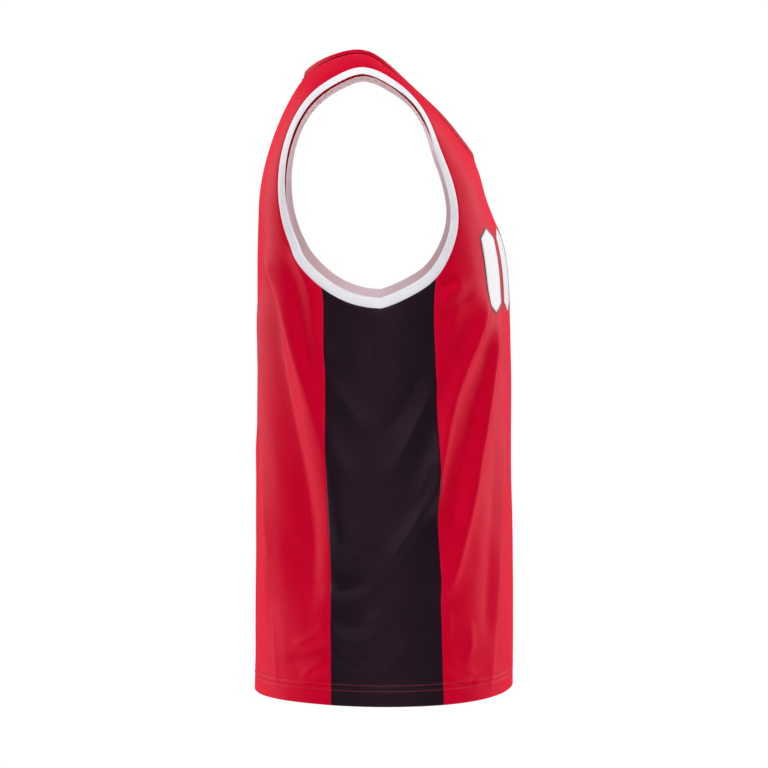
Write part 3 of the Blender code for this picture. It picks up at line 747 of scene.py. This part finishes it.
def front_places(distance, z, out):
    """Points on the front panel at distances from its middle along the form's rows, and at the heights
    of those rows in the middle, moved out from the draped cloth."""
    at = np.linspace(0, FRONT_CORNER * PRINT_REACH, PRINT_SAMPLES[0])
    dense = np.linspace(0, 1, PRINT_SAMPLES[1])
    rows = form_rows(at, dense)
    row = np.interp(z, rows[:, 0, 2], at)
    k = np.clip(np.searchsorted(at, row), 1, len(at) - 1)
    part = (row - at[k - 1]) / (at[k] - at[k - 1])
    gone = path_lengths(rows, 1)
    ways = np.linspace(0, gone[:, -1].min(), PRINT_SAMPLES[2])
    shares = np.stack([np.interp(ways, line, dense) for line in gone])
    j = np.clip(np.abs(distance) / ways[1], 0, len(ways) - 1.001)
    low, rest = j.astype(int), j % 1
    side = np.where(distance < 0, -1.0, 1.0)

    def share_of(k):
        return (1 - rest) * shares[k, low] + rest * shares[k, low + 1]

    def place(row, share):
        return form_rows(row.ravel(), share.ravel()[:, None])[:, 0].reshape(*row.shape, 3)

    share = (1 - part) * share_of(k - 1) + part * share_of(k)
    up = place(row + NUDGE, share) - place(row - NUDGE, share)
    over = place(row, share + NUDGE) - place(row, share - NUDGE)
    points = place(row, share)
    normals = unit(np.cross(over, up))
    rise = drape(side * share * FRONT_WIDTH, points[..., 2]) + out
    return (points + rise[..., None] * normals) * np.stack([side, 1 + 0 * side, 1 + 0 * side], -1)


def chest_bar(middle, grow, out):
    """One upright bar: a grid whose top and bottom edges come to a point, as the distance from its
    middle times the point's slope. grow widens it all round for its outline."""
    half = BAR_WIDTH / 2 + grow
    over = np.linspace(-half, half, BAR_COLUMNS)
    slope = BAR_POINT / (BAR_WIDTH / 2)
    reach = BAR_HEIGHT / 2 + grow * math.hypot(1, slope) - slope * np.abs(over)
    up = BAR_MIDDLE + np.linspace(-1, 1, BAR_ROWS)[:, None] * reach
    distance = middle + np.tile(over, (BAR_ROWS, 1))
    places = np.stack([distance, up], -1)
    return front_places(distance, up, out), places


def film_patches(middle, grow, out):
    """A bar of printed film: its face, and a rim round it that reaches down to the cloth."""
    top, places = chest_bar(middle, grow, out)
    foot, _ = chest_bar(middle, grow, FILM_FOOT)
    rims = [
        (1, top[:, -1], foot[:, -1], places[:, -1]),
        (1, foot[:, 0], top[:, 0], places[:, 0]),
        (0, foot[0], top[0], places[0]),
        (0, top[-1], foot[-1], places[-1]),
    ]
    return [(top, places)] + [(np.stack([a, b], axis), np.stack([uv, uv], axis)) for axis, a, b, uv in rims]


def stitch_row(pieces, up):
    """Points, ways along and normals of the row of stitches at one height above the hem."""
    row = int(np.argmin(np.abs(pieces[0][0]["up"][:, 0] - up)))
    path = np.concatenate([made["outer"][row][::step] for made, step in pieces])
    outs = np.concatenate([made["normals"][row][::step] for made, step in pieces])
    keep = np.concatenate([[True], np.linalg.norm(np.diff(path, axis=0), axis=1) > 1e-5])
    path, outs = path[keep], outs[keep]
    lengths = path_lengths(path)
    at = np.arange(0, lengths[-1] - STITCH_PITCH / 2, STITCH_PITCH)
    points, normals = read_off(at, lengths, path), unit(read_off(at, lengths, outs))
    along = unit(read_off(at + NUDGE, lengths, path) - points)
    return points, along, normals


def stitches(points, along, normals):
    """Points and faces of one short thread at each place: a capsule whose radius falls off as the root
    of 1 - t**4 along it, sunk a little into the cloth."""
    steps, turns = STITCH_RINGS, STITCH_CORNERS
    t = np.linspace(-STITCH_TIP, STITCH_TIP, steps)[:, None]
    angle = np.linspace(0, 2 * math.pi, turns, endpoint=False)
    radius = STITCH_THICK / 2 * np.sqrt(1 - t**4)
    lift = radius * np.cos(angle) + STITCH_THICK * (STITCH_ARCH * (1 - t**2) - STITCH_SINK)
    ahead, beside = t * STITCH_LENGTH / 2 + 0 * lift, radius * np.sin(angle)
    across = np.cross(normals, along)
    axes = ((ahead, along), (beside, across), (lift, normals))
    local = sum(values[..., None] * way[:, None, None] for values, way in axes)
    capsules = (points[:, None, None] + local).reshape(-1, 3)
    i, j = np.meshgrid(np.arange(steps - 1), np.arange(turns), indexing="ij")
    k = (j + 1) % turns
    ring = i * turns
    quads = np.stack([ring + j, ring + k, ring + turns + k, ring + turns + j], -1).reshape(-1, 4)
    ends = np.array([np.arange(turns)[::-1], np.arange(turns) + (steps - 1) * turns])
    first = np.arange(len(points))[:, None, None] * steps * turns
    return capsules, (quads + first).reshape(-1, 4).tolist() + (ends + first).reshape(-1, turns).tolist()


# -------- meshes


def put(name, data):
    """A new object in the scene."""
    thing = bpy.data.objects.new(name, data)
    bpy.context.scene.collection.objects.link(thing)
    return thing


def new_piece(name, points, faces, material):
    """A new mesh in the scene, shaded smooth."""
    mesh = bpy.data.meshes.new(name)
    mesh.from_pydata(points.tolist(), [], faces)
    mesh.shade_smooth()
    mesh.materials.append(material)
    return put(name, mesh)


def cloth_piece(name, patches, material, thickness=None):
    """A piece of cloth from patches (points, places on the cloth, whether turned round). Points that
    coincide are one, and each face keeps its own places on the cloth as its UV map, in metres."""
    points = np.concatenate([patch[0].reshape(-1, 3) for patch in patches])
    places = np.concatenate([patch[1].reshape(-1, 2) for patch in patches])
    faces, start = [], 0
    for patch, _, flipped in patches:
        rows, columns = patch.shape[:2]
        corner = start + np.arange(rows * columns).reshape(rows, columns)[:-1, :-1].ravel()
        quads = np.stack([corner, corner + 1, corner + columns + 1, corner + columns], 1)
        faces.append(quads[:, ::-1] if flipped else quads)
        start += rows * columns
    faces = np.concatenate(faces)
    _, first, merged = np.unique(np.round(points, 6), axis=0, return_index=True, return_inverse=True)
    joined = merged.reshape(-1)[faces]
    whole = (joined != np.roll(joined, 1, axis=1)).all(1) & (joined != np.roll(joined, 2, axis=1)).all(1)
    piece = new_piece(name, points[first], joined[whole].tolist(), material)
    piece.data.uv_layers.new(name="cloth").data.foreach_set("uv", places[faces[whole]].ravel())
    if thickness:
        solid = piece.modifiers.new("thickness", "SOLIDIFY")
        solid.thickness = thickness
        solid.offset = -1
    return piece


def turned(patches, flipped):
    return [(*patch, flipped) for patch in patches]


# -------- materials


def rgb(code):
    """The linear colour of an sRGB hex code."""
    channels = np.array([int(code[i : i + 2], 16) for i in (0, 2, 4)]) / 255
    return (*np.where(channels <= 0.04045, channels / 12.92, ((channels + 0.055) / 1.055) ** 2.4), 1.0)


def fill(tree, node, inputs):
    """Links a node's inputs, or sets them to constants. Names may have underscores for spaces."""
    for name, value in dict(inputs).items():
        socket = node.inputs[name.replace("_", " ") if isinstance(name, str) else name]
        if isinstance(value, bpy.types.NodeSocket):
            tree.links.new(value, socket)
        else:
            socket.default_value = value


def add(tree, kind, settings=(), inputs=()):
    """A node of a kind, with its settings by name, and its inputs by name or number."""
    node = tree.nodes.new("ShaderNode" + kind)
    for name, value in dict(settings).items():
        setattr(node, name, value)
    fill(tree, node, inputs)
    return node


def new_finish(name, **sockets):
    material = bpy.data.materials.new(name)
    material.use_nodes = True
    tree = material.node_tree
    shader = tree.nodes["Principled BSDF"]
    fill(tree, shader, sockets)
    return material, tree, shader


def on_cloth(tree):
    """Places on the cloth, from its UV map."""
    return add(tree, "UVMap", {"uv_map": "cloth"}).outputs["UV"]


def reckon(tree, operation, *values):
    return add(tree, "Math", {"operation": operation}, dict(enumerate(values))).outputs[0]


def noise(tree, place, scale, detail, dimensions="2D"):
    inputs = {"Vector": place, "Scale": scale, "Detail": detail}
    return add(tree, "TexNoise", {"noise_dimensions": dimensions}, inputs).outputs[0]


def ramp(tree, value, *limits):
    """A value clamped between two limits and brought to lie between two others, or 0 and 1."""
    return add(tree, "MapRange", inputs=dict(enumerate((value, *limits)))).outputs[0]


def mixed(tree, share, first, second, way="MIX"):
    settings = {"data_type": "RGBA", "blend_type": way}
    return add(tree, "Mix", settings, {0: share, 6: first, 7: second}).outputs[2]


def raised(tree, height, distance, **over):
    """The normals of a face raised by a height times a distance, over other normals if they are given."""
    inputs = {"Height": height, "Distance": distance, "Strength": 1, **over}
    return add(tree, "Bump", inputs=inputs).outputs[0]


def tricot(name, dark, light, wale, course, relief, evenness, painted_seam_shade=None, **sockets):
    """Warp-knitted cloth. Its face is columns of narrow loops, wales, crossed by courses: a sine along
    whose phase runs out and back across each wale, which gives the loops their V. Its dye and lustre
    vary a little in soft patches, a few centimetres wide. A band's cloth may have painted shade: the first
    millimetre or two out of its seam is painted dark, with its sheen turned off, as if in the seam's shadow."""
    material, tree, shader = new_finish(name, **sockets)
    place = on_cloth(tree)
    across, along, _ = add(tree, "SeparateXYZ", inputs={0: place}).outputs
    loop = reckon(tree, "PINGPONG", reckon(tree, "DIVIDE", across, wale), 0.5)
    slant = reckon(tree, "ADD", reckon(tree, "DIVIDE", along, course), loop)
    bars = reckon(tree, "SINE", reckon(tree, "MULTIPLY", slant, 2 * math.pi))
    knit = reckon(tree, "MULTIPLY_ADD", bars, COURSE_SHARE, loop)
    patches = noise(tree, place, DYE_PATCHES, 3)
    blend = reckon(tree, "MULTIPLY_ADD", noise(tree, place, FUZZ, 2), FUZZ_SHARE, patches)
    tone = ramp(tree, blend, DYE_MIDDLE - evenness, DYE_MIDDLE + evenness)
    colour = mixed(tree, tone, rgb(dark), rgb(light))
    # Painted shade along a band's seam: a dark colour near the seam, and sheen fading to none there
    if painted_seam_shade:
        colour = mixed(tree, ramp(tree, along, *PAINTED_SHADE_SPAN), rgb(painted_seam_shade), colour)
        fill(tree, shader, {"Sheen Weight": ramp(tree, along, *PAINTED_SHADE_SPAN, 0, sockets["Sheen_Weight"])})
    soft = raised(tree, patches, DYE_RELIEF / evenness)
    fill(tree, shader, {"Base Color": colour, "Normal": raised(tree, knit, relief, Normal=soft)})
    return material


def print_ink(name, code):
    """Screen-printed plastisol ink: a thin, nearly flat film, through which the knit shows faintly."""
    material, tree, shader = new_finish(name, Roughness=0.55, Sheen_Weight=0.05)
    grain = noise(tree, on_cloth(tree), INK_GRAIN, 3)
    colour = mixed(tree, 1, rgb(code), ramp(tree, grain, 0.3, 0.7, 0.93, 1), "MULTIPLY")
    fill(tree, shader, {"Base Color": colour, "Normal": raised(tree, grain, INK_RELIEF)})
    return material


def sewing_thread(name, dark, light):
    """Spun polyester thread: matt, twisted, a little lighter on its crowns."""
    material, tree, shader = new_finish(name, Roughness=0.6, Sheen_Weight=0.3)
    place = add(tree, "TexCoord").outputs["Object"]
    twist = noise(tree, place, THREAD_TWIST, 2, "3D")
    fill(tree, shader, {"Base Color": mixed(tree, twist, rgb(dark), rgb(light))})
    return material


# -------- studio


def look_at(thing, place, target):
    thing.location = place
    thing.rotation_euler = (Vector(target) - Vector(place)).to_track_quat("-Z", "Y").to_euler()


def studio():
    """A camera, a room that looks white and gives little light, broad soft lights, and a floor."""
    scene = bpy.context.scene
    camera = put("camera", bpy.data.cameras.new("camera"))
    camera.data.lens = LENS
    camera.data.sensor_width = 36
    camera.data.clip_end = 50
    look_at(camera, CAMERA, CAMERA_TARGET)
    scene.camera = camera
    scene.view_settings.view_transform = "Standard"

    world = bpy.data.worlds.new("room")
    scene.world = world
    world.use_nodes = True
    tree = world.node_tree
    given = tree.nodes["Background"]
    fill(tree, given, {0: rgb("FFFFFF"), 1: ROOM_LIGHT})
    seen = add(tree, "Background", inputs={0: rgb("FFFFFF"), 1: 1})
    ray = add(tree, "LightPath").outputs["Is Camera Ray"]
    both = add(tree, "MixShader", inputs={0: ray, 1: given.outputs[0], 2: seen.outputs[0]})
    fill(tree, tree.nodes["World Output"], {"Surface": both.outputs[0]})
    for name, place, size, watts in LIGHTS:
        light = bpy.data.lights.new(name, "AREA")
        light.shape = "RECTANGLE"
        light.size, light.size_y = size
        light.energy = watts
        look_at(put(name, light), place, LIT_PLACE)

    angle = np.linspace(0, 2 * math.pi, FLOOR_CORNERS, endpoint=False)
    rim = np.stack([FLOOR_RADIUS * np.cos(angle), FLOOR_RADIUS * np.sin(angle), FLOOR + 0 * angle], 1)
    # A studio's lit white floor: matt, and pale beyond the reach of the lamps
    looks = {"Base_Color": rgb("F2F1F0"), "Emission_Color": rgb("FFFFFF"), "Emission_Strength": FLOOR_GLOW}
    paint, _, _ = new_finish("lit_matt_floor", Roughness=0.8, **looks)
    floor = new_piece("floor", rim, [tuple(range(FLOOR_CORNERS))], paint)
    floor.data.shade_flat()


# -------- the garment


def stand_for(piece, node):
    """Puts a piece of cloth in place of its CAD solid."""
    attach(piece, "root")
    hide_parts(node)


def garment():
    # Polyester tricot for sportswear: warp-knitted, dyed in the piece and heat-set. Filament yarn gives it
    # a satin lustre that brightens where the cloth turns away, and no visible stitch from arm's length.
    satin = {"Roughness": 0.45, "Specular_IOR_Level": 0.03, "Sheen_Roughness": 0.42}
    # Light that enters the dyed filaments comes out again coloured, so the lustre of the red is red
    lustre = {**satin, "Sheen_Weight": 0.80, "Sheen_Tint": rgb("FF3048")}
    dull = {**satin, "Specular_IOR_Level": 0.14, "Specular_Tint": rgb("FFCCE8"), "Sheen_Weight": 0.02}
    red = tricot("red_polyester_tricot", "CB002A", "D1022E", *PANEL_KNIT, 0.00003, 0.35, **lustre)
    black = tricot("black_polyester_tricot", "1A0D16", "22151E", *PANEL_KNIT, 0.00003, 0.70, **dull)
    # Folded knit binding, bleached white: plainer and more matt than the panels. Light from behind
    # comes a little way through its four layers.
    matt = {"Roughness": 0.62, "Sheen_Weight": 0.25, "Sheen_Roughness": 0.5}
    matt.update({"Subsurface_Weight": 0.3, "Subsurface_Radius": (1, 1, 1), "Subsurface_Scale": 0.0025})
    white = tricot("white_knit_binding", "E8E9F1", "F4F5FA", *BAND_KNIT, 0.00005, 0.30, **matt)
    # The third colour, 680012, is painted shade along the neckband's seam
    collar = tricot("red_knit_neckband", "C00026", "CB022C", *BAND_KNIT, 0.00004, 0.30, "680012", **lustre)
    thread = sewing_thread("red_sewing_thread", "A00820", "C41433")
    ink, edging = print_ink("white_print_ink", "F2F0F2"), print_ink("grey_print_ink", "4A474D")

    front = panel_half(FRONT_CORNER, NECK_POINT, SHOULDER)
    back = panel_half(BACK_CORNER - END, NAPE - END, SHOULDER - END)
    flank = side_half()
    made = {sign: [finished(part, sign) for part in (front, back, flank)] for sign in (-1, 1)}

    fronts, backs, necks = [], [], []
    for sign, (fore, aft, beside) in made.items():
        fronts += turned(panel_patches(fore), sign < 0)
        backs += turned(panel_patches(aft), sign > 0)
        necks.append((*half_neckband(fore, aft, sign), sign < 0))
        word = "right" if sign < 0 else "left"
        side = cloth_piece(f"side_{word}", turned(panel_patches(beside), sign < 0), black, KNIT)
        stand_for(side, f"side_panel_{word}")
        binding = cloth_piece(f"binding_{word}", [(*armhole_band(fore, aft, beside, sign), sign > 0)], white)
        stand_for(binding, f"armhole_binding_{word}")

    front_cloth = cloth_piece("front", fronts, red, KNIT)
    back_cloth = cloth_piece("back", backs, red, KNIT)
    neckband = cloth_piece("neck_edge", necks, collar)
    stand_for(neckband, "neckband")

    bars, outlines = [], []
    for i in range(BAR_COUNT):
        middle = (i - (BAR_COUNT - 1) / 2) * (BAR_WIDTH + BAR_GAP)
        bars += turned(film_patches(middle, 0, 2 * FILM), False)
        outlines += turned(film_patches(middle, BAR_OUTLINE, FILM), False)
    bars = cloth_piece("chest_bars", bars, ink)
    outlines = cloth_piece("chest_bar_outlines", outlines, edging)

    right, left = made[-1], made[1]
    ring = [(right[1], 1), (right[2], -1), (right[0], -1), (left[0], 1), (left[2], 1), (left[1], -1)]
    rows = [stitch_row(ring, up) for up in HEM_STITCH_ROWS]
    sewing = new_piece("hem_stitching", *stitches(*map(np.concatenate, zip(*rows))), thread)

    for piece in (bars, outlines, sewing):
        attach(piece, "root")
    stand_for(front_cloth, "front_panel")
    stand_for(back_cloth, "back_panel")


studio()
garment()
